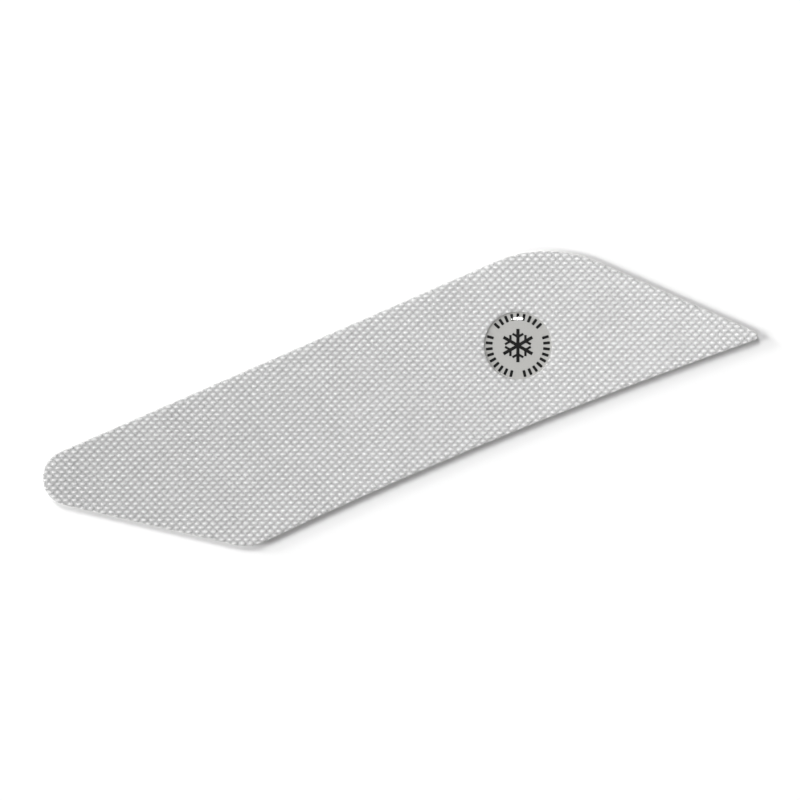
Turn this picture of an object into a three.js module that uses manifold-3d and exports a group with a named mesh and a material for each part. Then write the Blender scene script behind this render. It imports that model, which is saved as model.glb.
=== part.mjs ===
// A studded, self-adhesive grip pad: a moulded elastomer sheet with a domed badge let into it,
// on double-coated tape and a peel-off liner. Millimetres, +Z up, with the origin at the middle
// of the underside. X runs along the rows of studs.
import * as THREE from "three";
import { mergeVertices } from "three/addons/utils/BufferGeometryUtils.js";
import Module from "manifold-3d";

const wasm = await Module();
wasm.setup();

// The die-cut outline is a band round four corner circles, in clockwise order. Its sides are
// straight, but for the long edge from the tip back to the heel, which is a hollow arc.
const NOSE = { x: -110.65, y: -26.6, r: 9.35 };
const SHOULDER = { x: 48.87, y: 6.25, r: 43.25 };
const TIP = { x: 118.56, y: 21.0, r: 1.44 };
const HEEL = { x: -52.2, y: -34.24, r: 15.26 };
const HOLLOW_EDGE_R = 1687;
const ARC_SEGMENTS = 16;

// The layers under the sheet, from the liner up.
const LINER_T = 0.13;
const ADHESIVE_T = 0.05;
const CARRIER_T = 0.05;

// The moulded sheet, whose solid reaches up to the stud tips.
const SHEET_BASE_T = 1.7;
const STUD_H = 0.3;
const SHEET_T = SHEET_BASE_T + STUD_H;
const SHEET_Z = LINER_T + 2 * ADHESIVE_T + CARRIER_T;

// The badge, in a round pocket without studs.
const BADGE_X = 39.56;
const BADGE_Y = 17.77;
const BADGE_R = 11.3;
const BADGE_FIT_GAP = 0.2;
const POCKET_DEPTH = 0.7;
const BADGE_ADHESIVE_T = 0.05;
const BADGE_FILM_T = 0.12;
const INK_T = 0.03;
const LENS_H = 0.5;
const LENS_ROUNDNESS = 0.75;
const BADGE_SEGMENTS = 72;
const LENS_STEPS = 14;

// The printed marks: a six-armed snow crystal inside a ring of plain ticks in three groups,
// which a fine guide line joins.
const CRYSTAL_R = 5.6;
const CRYSTAL_ARMS = 6;
const ARM_W = 1.1;
const TWIG_L = 2.1;
const TWIG_W = 0.8;
const TWIG_AT = 2.9;
const TWIG_ANGLE = THREE.MathUtils.degToRad(60);
const TICK_GROUPS = 3;
const TICKS_PER_GROUP = 9;
const TICK_STEP = THREE.MathUtils.degToRad(11.7);
const TICK_INNER_R = 8.5;
const TICK_OUTER_R = 10.8;
const TICK_W = 0.95;
const GUIDE_LINE_W = 0.14;

const material = (color, roughness) =>
  new THREE.MeshStandardMaterial({ color, roughness, metalness: 0 });

// The direction, from the centre of either circle, of the points where a straight side
// touches both. The side runs clockwise, from the first circle to the second.
function sideNormal(from, to) {
  const dx = to.x - from.x;
  const dy = to.y - from.y;
  return Math.atan2(dy, dx) + Math.acos((from.r - to.r) / Math.hypot(dx, dy));
}

// The centre of the hollow edge, which touches the tip and the heel circles from outside.
function hollowEdgeCentre() {
  const span = new THREE.Vector2(HEEL.x - TIP.x, HEEL.y - TIP.y);
  const toTip = HOLLOW_EDGE_R + TIP.r;
  const toHeel = HOLLOW_EDGE_R + HEEL.r;
  const length = span.length();
  const along = (length ** 2 + toTip ** 2 - toHeel ** 2) / (2 * length);
  const away = Math.sqrt(toTip ** 2 - along ** 2);
  const unit = span.normalize();
  return { x: TIP.x + unit.x * along - unit.y * away, y: TIP.y + unit.y * along + unit.x * away };
}

const directionTo = (from, to) => Math.atan2(to.y - from.y, to.x - from.x);

function outline() {
  const upperSide = sideNormal(NOSE, SHOULDER);
  const tipSide = sideNormal(SHOULDER, TIP);
  const heelSide = sideNormal(HEEL, NOSE);
  const hollow = hollowEdgeCentre();
  const shape = new THREE.Shape();
  shape.absarc(NOSE.x, NOSE.y, NOSE.r, heelSide, upperSide, true);
  shape.absarc(SHOULDER.x, SHOULDER.y, SHOULDER.r, upperSide, tipSide, true);
  shape.absarc(TIP.x, TIP.y, TIP.r, tipSide, directionTo(TIP, hollow), true);
  const edgeStart = directionTo(hollow, TIP);
  const edgeEnd = directionTo(hollow, HEEL);
  shape.absarc(hollow.x, hollow.y, HOLLOW_EDGE_R, edgeStart, edgeEnd, false);
  shape.absarc(HEEL.x, HEEL.y, HEEL.r, directionTo(HEEL, hollow), heelSide, true);
  shape.closePath();
  return shape;
}

// Booleans: a closed geometry as a solid, and back.
function solid(geometry) {
  const bare = geometry.clone();
  bare.deleteAttribute("normal");
  bare.deleteAttribute("uv");
  const merged = mergeVertices(bare);
  const vertProperties = new Float32Array(merged.attributes.position.array);
  const triVerts = new Uint32Array(merged.index.array);
  return new wasm.Manifold(new wasm.Mesh({ numProp: 3, vertProperties, triVerts }));
}

function geometryOf(manifold) {
  const mesh = manifold.getMesh();
  const geometry = new THREE.BufferGeometry();
  geometry.setAttribute("position", new THREE.BufferAttribute(mesh.vertProperties, 3));
  geometry.setIndex(new THREE.BufferAttribute(mesh.triVerts, 1));
  geometry.computeVertexNormals();
  return geometry;
}

const joined = (geometries) => geometryOf(geometries.map(solid).reduce((a, b) => a.add(b)));

function sheetLayer(thickness) {
  return new THREE.ExtrudeGeometry(outline(), {
    depth: thickness,
    bevelEnabled: false,
    curveSegments: ARC_SEGMENTS,
  });
}

// A disc on the XY plane, from z = 0 up.
function disc(radius, thickness) {
  const geometry = new THREE.CylinderGeometry(radius, radius, thickness, BADGE_SEGMENTS);
  geometry.rotateX(Math.PI / 2);
  geometry.translate(0, 0, thickness / 2);
  return geometry;
}

// A printed bar that points away from the badge's middle, between two radii.
function inkBar(innerR, outerR, width, angle) {
  const bar = new THREE.BoxGeometry(outerR - innerR, width, INK_T);
  bar.translate((innerR + outerR) / 2, 0, INK_T / 2);
  bar.rotateZ(angle);
  return bar;
}

function gripSheet() {
  const pocket = disc(BADGE_R + BADGE_FIT_GAP, POCKET_DEPTH + STUD_H);
  pocket.translate(BADGE_X, BADGE_Y, SHEET_T - POCKET_DEPTH);
  return geometryOf(solid(sheetLayer(SHEET_T)).subtract(solid(pocket)));
}

// The poured lens, level with the stud tips: steep at its rim and nearly flat over the middle.
function lens() {
  const profile = [new THREE.Vector2(0, 0), new THREE.Vector2(BADGE_R, 0)];
  for (let i = 1; i < LENS_STEPS; i++) {
    const t = ((i / LENS_STEPS) * Math.PI) / 2;
    const radius = BADGE_R * Math.cos(t) ** LENS_ROUNDNESS;
    profile.push(new THREE.Vector2(radius, LENS_H * Math.sin(t) ** LENS_ROUNDNESS));
  }
  profile.push(new THREE.Vector2(0, LENS_H));
  const geometry = new THREE.LatheGeometry(profile, BADGE_SEGMENTS);
  geometry.rotateX(Math.PI / 2);
  return geometry;
}

function crystalPrint() {
  const bars = [];
  for (let i = 0; i < CRYSTAL_ARMS; i++) {
    const arm = (i / CRYSTAL_ARMS) * 2 * Math.PI + Math.PI / 2;
    bars.push(inkBar(-ARM_W / 2, CRYSTAL_R, ARM_W, arm));
    for (const side of [-1, 1]) {
      const twig = inkBar(0, TWIG_L, TWIG_W, side * TWIG_ANGLE);
      twig.translate(TWIG_AT, 0, 0);
      twig.rotateZ(arm);
      bars.push(twig);
    }
  }
  return joined(bars);
}

function ringPrint() {
  const ring = new THREE.Shape();
  ring.absarc(0, 0, TICK_INNER_R + GUIDE_LINE_W, 0, 2 * Math.PI, false);
  const hole = new THREE.Path();
  hole.absarc(0, 0, TICK_INNER_R, 0, 2 * Math.PI, true);
  ring.holes.push(hole);
  const guideLine = new THREE.ExtrudeGeometry(ring, {
    depth: INK_T,
    bevelEnabled: false,
    curveSegments: BADGE_SEGMENTS / 2,
  });
  const marks = [guideLine];
  for (let group = 0; group < TICK_GROUPS; group++) {
    const middle = Math.PI / 2 - (group / TICK_GROUPS) * 2 * Math.PI;
    for (let i = 0; i < TICKS_PER_GROUP; i++) {
      const angle = middle + (i - (TICKS_PER_GROUP - 1) / 2) * TICK_STEP;
      marks.push(inkBar(TICK_INNER_R, TICK_OUTER_R, TICK_W, angle));
    }
  }
  return joined(marks);
}

function piece(name, geometry, surface, z) {
  const mesh = new THREE.Mesh(geometry, surface);
  mesh.name = name;
  mesh.position.z = z;
  return mesh;
}

function adhesiveLayers() {
  const group = new THREE.Group();
  const glue = material(0xe9e6da, 0.35);
  const film = material(0xf2f4f5, 0.2);
  const carrierZ = LINER_T + ADHESIVE_T;
  group.add(
    piece("board_side_adhesive", sheetLayer(ADHESIVE_T), glue, LINER_T),
    piece("tape_carrier_film", sheetLayer(CARRIER_T), film, carrierZ),
    piece("sheet_side_adhesive", sheetLayer(ADHESIVE_T), glue.clone(), carrierZ + CARRIER_T),
  );
  return group;
}

function badge() {
  const group = new THREE.Group();
  const filmZ = BADGE_ADHESIVE_T;
  const inkZ = filmZ + BADGE_FILM_T;
  const ink = material(0x0b0b0c, 0.5);
  const glue = material(0xe2dfcf, 0.4);
  group.position.set(BADGE_X, BADGE_Y, SHEET_Z + SHEET_T - POCKET_DEPTH);
  group.add(
    piece("badge_adhesive", disc(BADGE_R, BADGE_ADHESIVE_T), glue, 0),
    piece("badge_film", disc(BADGE_R, BADGE_FILM_T), material(0xb9b9b4, 0.4), filmZ),
    piece("badge_crystal_print", crystalPrint(), ink, inkZ),
    piece("badge_ring_print", ringPrint(), ink.clone(), inkZ),
    piece("badge_lens", lens(), material(0xf4f5f2, 0.05), inkZ + INK_T),
  );
  return group;
}

const pad = new THREE.Group();
pad.add(
  piece("release_liner", sheetLayer(LINER_T), material(0xe8e2d2, 0.6), 0),
  adhesiveLayers(),
  piece("grip_sheet", gripSheet(), material(0xc9cacb, 0.45), SHEET_Z),
  badge(),
);

export default pad;
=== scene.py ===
import math

import bpy
import numpy as np
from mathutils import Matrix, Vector


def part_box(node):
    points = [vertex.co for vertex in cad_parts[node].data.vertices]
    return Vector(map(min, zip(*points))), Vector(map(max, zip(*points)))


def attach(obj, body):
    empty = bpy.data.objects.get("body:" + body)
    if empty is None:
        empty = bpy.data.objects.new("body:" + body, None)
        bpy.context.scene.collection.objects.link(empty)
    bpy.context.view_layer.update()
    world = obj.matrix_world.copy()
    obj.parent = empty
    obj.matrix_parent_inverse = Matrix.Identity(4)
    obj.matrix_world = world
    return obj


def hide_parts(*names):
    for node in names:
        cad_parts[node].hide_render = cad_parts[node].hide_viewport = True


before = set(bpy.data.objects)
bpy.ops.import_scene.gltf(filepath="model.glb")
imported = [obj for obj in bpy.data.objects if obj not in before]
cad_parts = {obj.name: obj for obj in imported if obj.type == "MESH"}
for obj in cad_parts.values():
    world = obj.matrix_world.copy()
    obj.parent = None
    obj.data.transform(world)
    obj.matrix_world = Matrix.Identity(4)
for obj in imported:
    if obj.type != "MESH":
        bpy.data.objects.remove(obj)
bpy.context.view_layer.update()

MM = 0.001

# The moulded sheet: low studs in staggered rows, nearly along X, on a base of even thickness.
SHEET_LOW, SHEET_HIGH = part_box("grip_sheet")
STUD_HEIGHT = 0.3 * MM
STUD_HALF_SIZE = (0.92 * MM, 0.44 * MM)
STUD_ROUNDNESS = 0.6
STUD_PITCH = 2.747 * MM
ROW_PITCH = 1.3533 * MM
ROW_TURN = math.radians(0.37)
COLUMN_TURN = math.radians(0.09)
FIRST_STUD = (0.74 * MM, -0.94 * MM)
STUD_SIDES = 8
STUD_RINGS = 3
STUD_UNEVENNESS = 0.15
SPARE_CELLS = 2
BASE_TOP = SHEET_HIGH.z - STUD_HEIGHT

# The sheet's greys at its rounded end and at its pointed end. Their rise towards the point is
# painted light, standing in for light that falls stronger there. The studs' greys are paler than
# the base's, partly as thicker frosted rubber and partly as painted highlight on their tops and
# painted shade in the valleys between them.
BASE_GREYS_WITH_PAINTED_LIGHT = (0.545, 0.685)
STUD_GREYS_WITH_PAINTED_LIGHT = (0.675, 0.83)

# Its cut edge is painted dark: painted shade that keeps it from lighting the floor beside it and
# deepens the shadow there. Its face darkens towards the outline by this share, as painted shade.
CUT_EDGE_PAINTED_SHADE = 0.22
CUT_EDGE_FADE = (BASE_TOP - 0.2 * MM, BASE_TOP - 0.05 * MM)
RIM_SHADE_WIDTH = 1.2 * MM
RIM_PAINTED_SHADE = 0.3

# How light passes through the rubber and the resin.
RUBBER_IOR = 1.42
SCATTER_LENGTH = 3.6 * MM
RESIN_IOR = 1.5

# The values that a noise mostly keeps between, for a soft and for a strong pattern.
SOFT = (0.3, 0.7)
STRONG = (0.35, 0.65)

# The badge, in its round pocket.
FILM_LOW, FILM_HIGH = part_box("badge_film")
LENS_LOW, LENS_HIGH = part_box("badge_lens")
INK_LOW, INK_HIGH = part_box("badge_ring_print")
BADGE_CENTRE = Vector(((FILM_LOW.x + FILM_HIGH.x) / 2, (FILM_LOW.y + FILM_HIGH.y) / 2, 0))
BADGE_RADIUS = (FILM_HIGH.x - FILM_LOW.x) / 2
BADGE_FIT_GAP = 0.05 * MM
POCKET_RADIUS = BADGE_RADIUS + BADGE_FIT_GAP
POCKET_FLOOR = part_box("badge_adhesive")[0].z
LENS_SINK = 0.02 * MM
LENS_ROUNDNESS = 0.75
LENS_STEPS = 28
LENS_SIDES = 128
TICK_GROUPS = 3
TICKS_PER_GROUP = 9
TICK_STEP = math.radians(11.7)
TICK_INNER = 8.5 * MM
TICK_OUTER = 10.8 * MM
TICK_WIDTH = 0.95 * MM
TICK_CORNER = 0.22 * MM
CORNER_STEPS = 4

# The camera looks straight down on the pad, and takes in this width at the studs.
VIEW_WIDTH = 268.34 * MM
VIEW_SHIFT_Y = -0.5 * MM
FOCAL_MM = 135
SENSOR_MM = 36
CLIP_NEAR = 0.01
CLIP_FAR = 20

# The studio: white walls round the floor, up to the sine of this elevation, and a dim ceiling.
WALL_TOP = 0.15
CEILING_LEVEL = 0.08
FLOOR_HALF_SIZE = 4.0

SEED = 7
SAME_HEIGHT = 0.001 * MM
PLACE_DECIMALS = 7


# Meshes

def new_object(name, points, faces):
    mesh = bpy.data.meshes.new(name)
    mesh.from_pydata([tuple(p) for p in points], [], faces)
    mesh.update()
    mesh.shade_smooth()
    made = bpy.data.objects.new(name, mesh)
    bpy.context.collection.objects.link(made)
    return made


def sharpen(made, edges):
    """Marks edges, given as pairs of point numbers, as sharp."""
    wanted = {(min(pair), max(pair)) for pair in edges}
    marks = [tuple(sorted(edge.vertices)) in wanted for edge in made.data.edges]
    layer = made.data.attributes.new("sharp_edge", "BOOLEAN", "EDGE")
    layer.data.foreach_set("value", marks)


def outline_of(node):
    """The outline that a flat node is cut to, anticlockwise round its middle."""
    places = np.array([v.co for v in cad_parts[node].data.vertices])
    foot = places[places[:, 2] < places[:, 2].min() + SAME_HEIGHT][:, :2]
    foot = np.unique(np.round(foot, PLACE_DECIMALS), axis=0)
    return foot[np.argsort(np.arctan2(foot[:, 1], foot[:, 0]))]


def depth_inside(places, outline):
    """How far each place lies inside the outline, negative outside it."""
    nearest = np.full(len(places), np.inf)
    inside = np.zeros(len(places), bool)
    for start, end in zip(outline, np.roll(outline, -1, axis=0)):
        edge = end - start
        offset = places - start
        along = np.clip(offset @ edge / (edge @ edge), 0, 1)
        nearest = np.minimum(nearest, np.hypot(*(offset - along[:, None] * edge).T))
        if start[1] != end[1]:
            spans = (start[1] > places[:, 1]) != (end[1] > places[:, 1])
            inside ^= spans & (offset[:, 0] < offset[:, 1] * edge[0] / edge[1])
    return np.where(inside, nearest, -nearest)


def clipped(points, faces, keep):
    """Cuts triangles where keep, a number at each point, passes zero, and drops what is below."""
    inside = keep > 0
    corners_in = inside[faces].sum(axis=1)
    added, cut_at, made = [], {}, []

    def cut(a, b):
        key = (min(a, b), max(a, b))
        if key not in cut_at:
            share = keep[a] / (keep[a] - keep[b])
            cut_at[key] = len(points) + len(added)
            added.append(points[a] + share * (points[b] - points[a]))
        return cut_at[key]

    for face in faces[(corners_in > 0) & (corners_in < 3)]:
        ring = []
        for a, b in zip(face, np.roll(face, -1)):
            if inside[a]:
                ring.append(a)
            if inside[a] != inside[b]:
                ring.append(cut(a, b))
        made += [(ring[0], ring[i], ring[i + 1]) for i in range(1, len(ring) - 1)]
    kept = np.vstack([faces[corners_in == 3], np.array(made)])
    used, numbers = np.unique(kept, return_inverse=True)
    return np.vstack([points, np.array(added)])[used], numbers.reshape(-1, 3)


def open_loops(faces):
    """The open edges of a triangle mesh, as loops of point numbers that run as its faces do."""
    edges = {(a, b) for face in faces.tolist() for a, b in zip(face, face[1:] + face[:1])}
    following = {a: b for a, b in edges if (b, a) not in edges}
    loops = []
    while following:
        loop = [min(following)]
        while loop[-1] in following:
            loop.append(following.pop(loop[-1]))
        loops.append(loop[:-1])
    return loops


def rounded(shares):
    """Turns the sines or cosines of a round form into those of a squarer one."""
    return np.sign(shares) * np.abs(shares) ** STUD_ROUNDNESS


def stud_field(outline):
    """Triangles over the outline's whole box: a domed stud in the middle of each diamond cell.
    Neighbouring cells share the points of their borders, which lie on a grid of even steps."""
    along = STUD_PITCH / 4 * np.array((math.cos(ROW_TURN), math.sin(ROW_TURN)))
    across = ROW_PITCH / 2 * np.array((-math.sin(COLUMN_TURN), math.cos(COLUMN_TURN)))
    grid = np.array((along, across))
    border = np.array([(2, 0), (1, 1), (0, 2), (-1, 1), (-2, 0), (-1, -1), (0, -2), (1, -1)])
    ends = np.array((outline.min(axis=0), outline.max(axis=0)))
    low, high = np.rint((ends - FIRST_STUD) @ np.linalg.inv(grid)).astype(int) // (4, 2)
    low, high = low - SPARE_CELLS, high + SPARE_CELLS + 1
    column, row = np.meshgrid(np.arange(low[0], high[0]), np.arange(low[1], high[1]))
    cells = np.stack([4 * column.ravel() + 2 * (row.ravel() % 2), 2 * row.ravel()], axis=1)
    cells = cells[depth_inside(FIRST_STUD + cells @ grid, outline) > -SPARE_CELLS * STUD_PITCH]

    turns = np.arange(STUD_SIDES) / STUD_SIDES * 2 * math.pi
    spokes = STUD_HALF_SIZE * rounded(np.stack([np.cos(turns), np.sin(turns)], axis=1))
    rise = np.arange(1, STUD_RINGS + 1) / STUD_RINGS * math.pi / 2
    stud = np.vstack([np.zeros((1, 2))] + [reach * spokes for reach in rounded(np.sin(rise))])
    heights = np.concatenate([[1], np.repeat(rounded(np.cos(rise)), STUD_SIDES)])
    chance = np.random.default_rng(SEED)
    size = STUD_HEIGHT * (1 - STUD_UNEVENNESS * chance.random(len(cells)))
    places = (FIRST_STUD + cells @ grid)[:, None] + stud
    studs = np.dstack([places, BASE_TOP + size[:, None] * heights]).reshape(-1, 3)

    shared, border_numbers = np.unique((cells[:, None] + border).reshape(-1, 2), axis=0,
                                       return_inverse=True)
    ground = np.column_stack([FIRST_STUD + shared @ grid, np.full(len(shared), BASE_TOP)])
    own = np.arange(len(studs)).reshape(len(cells), -1)
    numbers = np.hstack([own, len(studs) + border_numbers.reshape(len(cells), -1)])

    faces = []
    for side in range(STUD_SIDES):
        after = (side + 1) % STUD_SIDES
        faces.append((0, 1 + side, 1 + after))
        for ring in range(STUD_RINGS):
            inner, outer = 1 + ring * STUD_SIDES, 1 + (ring + 1) * STUD_SIDES
            faces.append((inner + side, outer + side, outer + after))
            faces.append((inner + side, outer + after, inner + after))
    return np.vstack([studs, ground]), numbers[:, faces].reshape(-1, 3)


def moulded_sheet():
    """The studded sheet as one closed mesh: its face, cut edge, pocket and back. Its points carry
    a value for painted shade along the outline, which rises to 1 at the outline."""
    outline = outline_of("release_liner")
    points, faces = stud_field(outline)
    points, faces = clipped(points, faces, depth_inside(points[:, :2], outline))
    from_badge = np.hypot(points[:, 0] - BADGE_CENTRE.x, points[:, 1] - BADGE_CENTRE.y)
    points, faces = clipped(points, faces, from_badge - POCKET_RADIUS)
    points, all_faces, sharp = points.tolist(), faces.tolist(), []
    pocket, edge = sorted(open_loops(faces), key=len)
    for loop, floor in ((pocket, POCKET_FLOOR), (edge, SHEET_LOW.z)):
        lower = list(range(len(points), len(points) + len(loop)))
        points += [(points[i][0], points[i][1], floor) for i in loop]
        for ring in (loop, lower):
            sharp += zip(ring, ring[1:] + ring[:1])
        for i, j in zip(range(-1, len(loop) - 1), range(len(loop))):
            all_faces.append((loop[j], loop[i], lower[i], lower[j]))
        all_faces.append(lower[::-1])
    made = new_object("grip_sheet_moulding", points, all_faces)
    sharpen(made, sharp)
    # Rises to 1 at the outline, for the painted shade along it.
    nearness = 1 - depth_inside(np.array(points)[:, :2], outline) / RIM_SHADE_WIDTH
    rim_shade = made.data.attributes.new("rim_shade", "FLOAT", "POINT")
    rim_shade.data.foreach_set("value", np.clip(nearness, 0, 1))
    return made


def revolved(name, profile, sides):
    """A closed solid of revolution about the badge's middle, with a sharp lower edge. Its
    profile, of radius and height, starts and ends on the axis, and runs upwards."""
    bottom, top = profile[0][1], profile[-1][1]
    points, faces = [], []
    for radius, height in profile[1:-1]:
        for side in range(sides):
            turn = side / sides * 2 * math.pi
            points.append((radius * math.cos(turn), radius * math.sin(turn), height))
    rings = len(profile) - 2
    points += [(0, 0, bottom), (0, 0, top)]
    foot, crown = len(points) - 2, len(points) - 1
    for side in range(sides):
        after = (side + 1) % sides
        faces.append((foot, after, side))
        faces.append((crown, (rings - 1) * sides + side, (rings - 1) * sides + after))
        for ring in range(rings - 1):
            lower, upper = ring * sides, (ring + 1) * sides
            faces.append((lower + side, lower + after, upper + after, upper + side))
    made = new_object(name, [Vector(p) + BADGE_CENTRE for p in points], faces)
    sharpen(made, [(side, (side + 1) % sides) for side in range(sides)])
    return made


def badge_dome():
    """The poured lens, bonded to the film and closed round the ink."""
    height = LENS_HIGH.z - LENS_LOW.z
    foot = FILM_HIGH.z - LENS_SINK
    profile = [(0, foot), (BADGE_RADIUS, foot), (BADGE_RADIUS, LENS_LOW.z)]
    for i in range(1, LENS_STEPS):
        turn = i / LENS_STEPS * math.pi / 2
        across = BADGE_RADIUS * math.cos(turn) ** LENS_ROUNDNESS
        profile.append((across, LENS_LOW.z + height * math.sin(turn) ** LENS_ROUNDNESS))
    profile.append((0, LENS_HIGH.z))
    return revolved("badge_dome", profile, LENS_SIDES)


def tick_outline():
    """A bar that points away from the badge's middle, with rounded corners."""
    half = TICK_WIDTH / 2 - TICK_CORNER
    near, far = TICK_INNER + TICK_CORNER, TICK_OUTER - TICK_CORNER
    corners = ((far, half), (near, half), (near, -half), (far, -half))
    places = []
    for quarter, (x, y) in enumerate(corners):
        for step in range(CORNER_STEPS + 1):
            turn = (quarter + step / CORNER_STEPS) * math.pi / 2
            places.append((x + TICK_CORNER * math.cos(turn), y + TICK_CORNER * math.sin(turn)))
    return places


def badge_ticks():
    outline = tick_outline()
    points, faces = [], []
    for group in range(TICK_GROUPS):
        middle = math.pi / 2 - group / TICK_GROUPS * 2 * math.pi
        for i in range(TICKS_PER_GROUP):
            turn = middle + (i - (TICKS_PER_GROUP - 1) / 2) * TICK_STEP
            first, count = len(points), len(outline)
            for height in (INK_LOW.z, INK_HIGH.z):
                for x, y in outline:
                    across = x * math.cos(turn) - y * math.sin(turn)
                    up = x * math.sin(turn) + y * math.cos(turn)
                    points.append((BADGE_CENTRE.x + across, BADGE_CENTRE.y + up, height))
            faces.append(range(first + count - 1, first - 1, -1))
            faces.append(range(first + count, first + 2 * count))
            for a in range(count):
                b = (a + 1) % count
                faces.append((first + a, first + b, first + count + b, first + count + a))
    made = new_object("badge_ticks", points, [tuple(face) for face in faces])
    made.data.shade_flat()
    return made


# Materials

class Surface:
    """A node material, with short ways to add its nodes."""

    def __init__(self, name):
        self.material = bpy.data.materials.new(name)
        self.material.use_nodes = True
        self.nodes = self.material.node_tree.nodes
        self.links = self.material.node_tree.links
        self.shader = self.nodes["Principled BSDF"]
        self.place = self.nodes.new("ShaderNodeTexCoord").outputs["Object"]

    def set(self, **values):
        for name, value in values.items():
            self.shader.inputs[name.replace("_", " ")].default_value = value

    def noise(self, per_metre, detail=3, stretch=(1, 1, 1)):
        scaled = self.nodes.new("ShaderNodeVectorMath")
        scaled.operation = "MULTIPLY"
        scaled.inputs[1].default_value = stretch
        self.links.new(self.place, scaled.inputs[0])
        node = self.nodes.new("ShaderNodeTexNoise")
        node.inputs["Scale"].default_value = per_metre
        node.inputs["Detail"].default_value = detail
        self.links.new(scaled.outputs[0], node.inputs["Vector"])
        return node.outputs["Fac"]

    def attribute(self, name):
        node = self.nodes.new("ShaderNodeAttribute")
        node.attribute_name = name
        return node.outputs["Fac"]

    def along(self, axis, low, high):
        """0 where the place on the axis is low, and 1 where it is high."""
        split = self.nodes.new("ShaderNodeSeparateXYZ")
        self.links.new(self.place, split.inputs[0])
        return self.spread(split.outputs[axis], low, high, 0, 1)

    def spread(self, value, low, high, to_low, to_high):
        node = self.nodes.new("ShaderNodeMapRange")
        names = ("From Min", "From Max", "To Min", "To Max")
        for name, number in zip(names, (low, high, to_low, to_high)):
            node.inputs[name].default_value = number
        self.links.new(value, node.inputs["Value"])
        return node.outputs["Result"]

    def blend(self, share, first, second):
        """A colour between two, each a colour or another node's output."""
        node = self.nodes.new("ShaderNodeMix")
        node.data_type = "RGBA"
        self.links.new(share, node.inputs[0])
        for socket, colour in ((node.inputs[6], first), (node.inputs[7], second)):
            if isinstance(colour, tuple):
                socket.default_value = (*colour, 1)
            else:
                self.links.new(colour, socket)
        return node.outputs[2]

    def drive(self, name, value):
        self.links.new(value, self.shader.inputs[name])

    def bump(self, value, distance):
        node = self.nodes.new("ShaderNodeBump")
        node.inputs["Distance"].default_value = distance
        node.inputs["Strength"].default_value = 1
        self.links.new(value, node.inputs["Height"])
        self.links.new(node.outputs["Normal"], self.shader.inputs["Normal"])


def grey(level, warmth=0.0):
    return (level * (1 + warmth), level, level * (1 - warmth))


def elastomer():
    """Frosted translucent rubber: paler where the studs make it thick, partly as painted
    highlight and painted shade, and paler towards its point as painted light. Its cut edge and
    outline carry painted shade.
    """
    s = Surface("elastomer")
    # Paler towards the point: painted light, standing in for light that falls stronger there.
    along = s.along("X", SHEET_LOW.x, SHEET_HIGH.x)
    base = s.blend(along, *map(grey, BASE_GREYS_WITH_PAINTED_LIGHT))
    studs = s.blend(along, *map(grey, STUD_GREYS_WITH_PAINTED_LIGHT))
    # Stud tops paler than the valleys: partly thicker frosted rubber, partly painted highlight on
    # the tops and painted shade between the studs.
    face = s.blend(s.along("Z", BASE_TOP, SHEET_HIGH.z), base, studs)
    clouded = s.blend(s.spread(s.noise(90), *SOFT, 0, 0.05), face, grey(0))
    above_edge = s.along("Z", *CUT_EDGE_FADE)
    # Painted shade, darkening the face along the outline.
    rim_shaded = s.blend(s.spread(s.attribute("rim_shade"), 0, 1, 0, RIM_PAINTED_SHADE), clouded, grey(0))
    # The cut edge painted dark: painted shade that deepens the floor's shadow beside it.
    s.drive("Base Color", s.blend(above_edge, grey(CUT_EDGE_PAINTED_SHADE), rim_shaded))
    s.drive("Roughness", s.spread(s.noise(2500), *SOFT, 0.22, 0.34))
    s.bump(s.noise(6000, 4), 0.006 * MM)
    s.set(Subsurface_Weight=1.0, Subsurface_Radius=(1, 1, 1), Subsurface_Scale=SCATTER_LENGTH)
    s.set(IOR=RUBBER_IOR)
    return s.material


def adhesive(name, tint):
    s = Surface(name)
    cloud = s.spread(s.noise(400), *STRONG, 0, 1)
    s.drive("Base Color", s.blend(cloud, tint, tuple(0.9 * c for c in tint)))
    s.drive("Roughness", s.spread(s.noise(900), *SOFT, 0.2, 0.45))
    s.bump(s.noise(1500, 5), 0.01 * MM)
    return s.material


def carrier_film():
    s = Surface("carrier_film")
    s.drive("Base Color", s.blend(s.noise(300), grey(0.72), grey(0.8)))
    s.drive("Roughness", s.spread(s.noise(2000, 2, (1, 0.1, 1)), *SOFT, 0.1, 0.2))
    s.bump(s.noise(700), 0.004 * MM)
    return s.material


def liner_paper():
    s = Surface("liner_paper")
    fibres = s.noise(1600, 6, (1, 0.22, 1))
    paper = s.blend(s.spread(fibres, *STRONG, 0, 1), (0.66, 0.60, 0.475), (0.75, 0.69, 0.56))
    s.drive("Base Color", paper)
    s.drive("Roughness", s.spread(s.noise(3000), *SOFT, 0.45, 0.6))
    s.bump(fibres, 0.012 * MM)
    return s.material


def label_film():
    s = Surface("label_film")
    s.drive("Base Color", s.blend(s.noise(1200, 2), (0.47, 0.47, 0.458), (0.50, 0.50, 0.487)))
    s.drive("Roughness", s.spread(s.noise(4000), *SOFT, 0.3, 0.4))
    s.bump(s.noise(5000), 0.002 * MM)
    s.set(Specular_IOR_Level=0.1)
    return s.material


def ink():
    s = Surface("ink")
    s.drive("Base Color", s.blend(s.noise(2500), grey(0.006), grey(0.014)))
    s.drive("Roughness", s.spread(s.noise(5000), *SOFT, 0.4, 0.55))
    s.bump(s.noise(7000), 0.002 * MM)
    s.set(Specular_IOR_Level=0.1)
    return s.material


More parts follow.
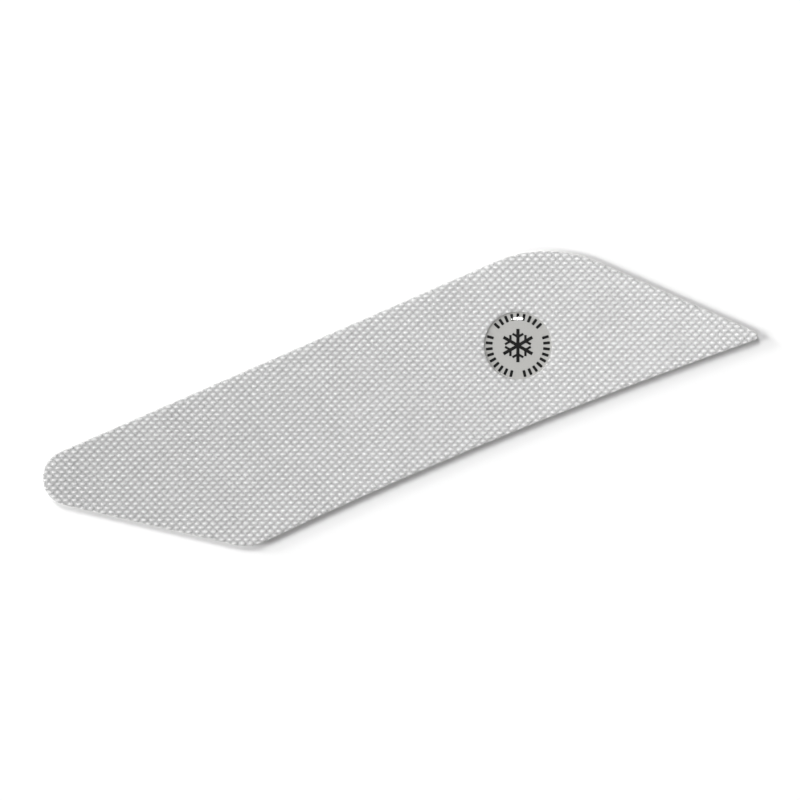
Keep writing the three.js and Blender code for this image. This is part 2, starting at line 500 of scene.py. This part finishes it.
def clear_resin():
    """Clear poured resin: glass to look at, and plainly transparent to what lights the label."""
    s = Surface("clear_resin")
    s.set(Base_Color=(*grey(0.985, 0.004), 1), Transmission_Weight=1.0)
    s.set(IOR=RESIN_IOR, Roughness=0.04)
    s.bump(s.noise(250), 0.004 * MM)
    clear = s.nodes.new("ShaderNodeBsdfTransparent")
    clear.inputs["Color"].default_value = (*grey(0.96, 0.004), 1)
    path = s.nodes.new("ShaderNodeLightPath")
    lighting = s.nodes.new("ShaderNodeMath")
    lighting.operation = "MAXIMUM"
    s.links.new(path.outputs["Is Shadow Ray"], lighting.inputs[0])
    s.links.new(path.outputs["Is Diffuse Ray"], lighting.inputs[1])
    mix = s.nodes.new("ShaderNodeMixShader")
    s.links.new(lighting.outputs[0], mix.inputs[0])
    s.links.new(s.shader.outputs[0], mix.inputs[1])
    s.links.new(clear.outputs[0], mix.inputs[2])
    s.links.new(mix.outputs[0], s.nodes["Material Output"].inputs["Surface"])
    return s.material


def dress(made, material):
    made.data.materials.clear()
    made.data.materials.append(material)


def dress_node(node, material):
    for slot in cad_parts[node].material_slots:
        slot.material = material


# The stage

def floor():
    far = FLOOR_HALF_SIZE
    corners = [(-far, -far, 0), (far, -far, 0), (far, far, 0), (-far, far, 0)]
    made = new_object("floor", corners, [(0, 1, 2, 3)])
    s = Surface("floor_white")
    s.drive("Base Color", s.blend(s.noise(3), grey(0.9), grey(0.92)))
    s.set(Roughness=0.9, Specular_IOR_Level=0.0)
    dress(made, s.material)


def sun(name, strength, width, azimuth, elevation, seen_in_gloss=True):
    """A far lamp, so many degrees across, that shines from azimuth, turned from +X towards +Y."""
    light = bpy.data.lights.new(name, "SUN")
    light.energy = strength
    light.angle = math.radians(width)
    made = bpy.data.objects.new(name, light)
    a, e = math.radians(azimuth), math.radians(elevation)
    source = Vector((math.cos(a) * math.cos(e), math.sin(a) * math.cos(e), math.sin(e)))
    made.location = source
    made.rotation_euler = source.to_track_quat("Z", "Y").to_euler()
    made.visible_glossy = seen_in_gloss
    bpy.context.collection.objects.link(made)


def studio():
    """The world: white round the floor, and dim above."""
    world = bpy.data.worlds.new("studio")
    world.use_nodes = True
    nodes, links = world.node_tree.nodes, world.node_tree.links
    nodes["Background"].inputs["Color"].default_value = (1, 1, 1, 1)
    split = nodes.new("ShaderNodeSeparateXYZ")
    links.new(nodes.new("ShaderNodeTexCoord").outputs["Generated"], split.inputs[0])
    fall = nodes.new("ShaderNodeMapRange")
    names = ("From Min", "From Max", "To Min", "To Max")
    for name, number in zip(names, (WALL_TOP, 2 * WALL_TOP, 1, CEILING_LEVEL)):
        fall.inputs[name].default_value = number
    links.new(split.outputs["Z"], fall.inputs["Value"])
    links.new(fall.outputs["Result"], nodes["Background"].inputs["Strength"])
    bpy.context.scene.world = world


def lights():
    sun("low_side", strength=2.45, width=20, azimuth=182, elevation=25, seen_in_gloss=False)
    sun("grazing", strength=2.0, width=10, azimuth=160, elevation=14, seen_in_gloss=False)
    sun("upper", strength=1.65, width=24, azimuth=118, elevation=42, seen_in_gloss=False)
    sun("fill", strength=0.6, width=24, azimuth=245, elevation=52)
    sun("glint", strength=0.06, width=3, azimuth=74, elevation=82)


def camera():
    data = bpy.data.cameras.new("camera")
    data.lens, data.sensor_width = FOCAL_MM, SENSOR_MM
    made = bpy.data.objects.new("camera", data)
    distance = VIEW_WIDTH * FOCAL_MM / SENSOR_MM
    made.location = (0, VIEW_SHIFT_Y, SHEET_HIGH.z + distance)
    data.clip_start, data.clip_end = CLIP_NEAR, CLIP_FAR
    bpy.context.collection.objects.link(made)
    bpy.context.scene.camera = made
    bpy.context.scene.view_settings.view_transform = "Standard"


def build():
    sheet = moulded_sheet()
    dress(sheet, elastomer())
    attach(sheet, "pad")
    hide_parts("grip_sheet")

    dome = badge_dome()
    dress(dome, clear_resin())
    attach(dome, "pad")
    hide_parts("badge_lens")

    ticks = badge_ticks()
    printed = ink()
    dress(ticks, printed)
    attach(ticks, "pad")
    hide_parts("badge_ring_print")

    dress_node("badge_crystal_print", printed)
    dress_node("badge_film", label_film())
    dress_node("badge_adhesive", adhesive("badge_glue", (0.62, 0.6, 0.5)))
    dress_node("sheet_side_adhesive", adhesive("sheet_glue", (0.7, 0.69, 0.62)))
    dress_node("board_side_adhesive", adhesive("board_glue", (0.72, 0.7, 0.62)))
    dress_node("tape_carrier_film", carrier_film())
    dress_node("release_liner", liner_paper())


camera()
studio()
lights()
floor()
build()
